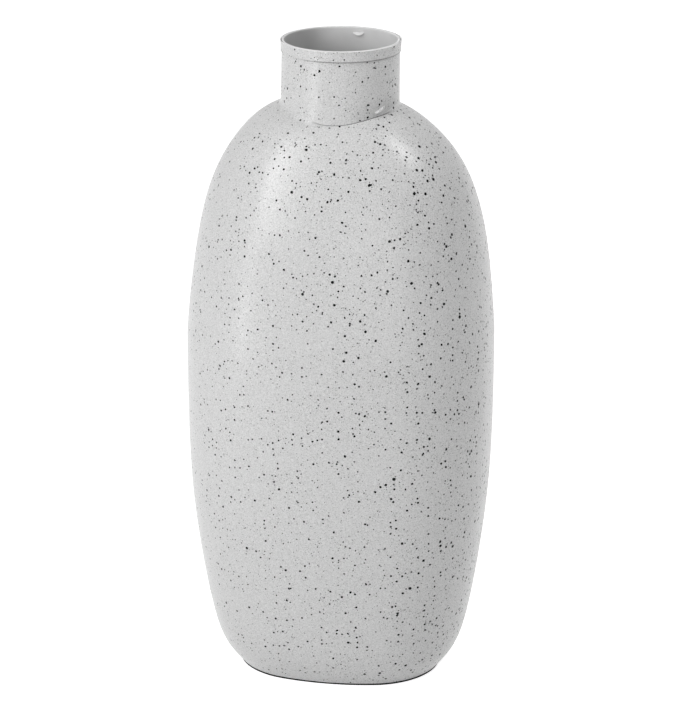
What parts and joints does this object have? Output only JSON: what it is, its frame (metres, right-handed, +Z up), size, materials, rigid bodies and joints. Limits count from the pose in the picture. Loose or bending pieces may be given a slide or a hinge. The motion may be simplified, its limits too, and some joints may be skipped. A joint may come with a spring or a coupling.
{
  "type": "bottle vase",
  "caption": "Welded sheet metal bottle vase, an oval squircle body with domed shoulder, short round pipe neck and rolled rim band, speckled satin coat.",
  "frame": {"origin": "centre of the base, on the surface that the vase stands on", "axes": "+Z up along the neck, X along the body's wide side, Y along its narrow side, -Y is the pictured front"},
  "size_m": [0.1886, 0.1514, 0.4],
  "materials": {
    "speckled_coat": "satin light grey powder coat with dark speckles",
    "plain_coat": "satin light grey powder coat"
  },
  "bodies": {
    "root": {"lower_shell": "speckled_coat", "shoulder_shell": "speckled_coat", "neck_tube": "speckled_coat", "neck_weld": "speckled_coat", "neck_tack_weld": "speckled_coat", "rim_band": "speckled_coat", "base_weld": "speckled_coat", "base_plate": "plain_coat", "girth_weld": "plain_coat", "rim_tack_weld": "plain_coat"}
  },
  "joints": []
}
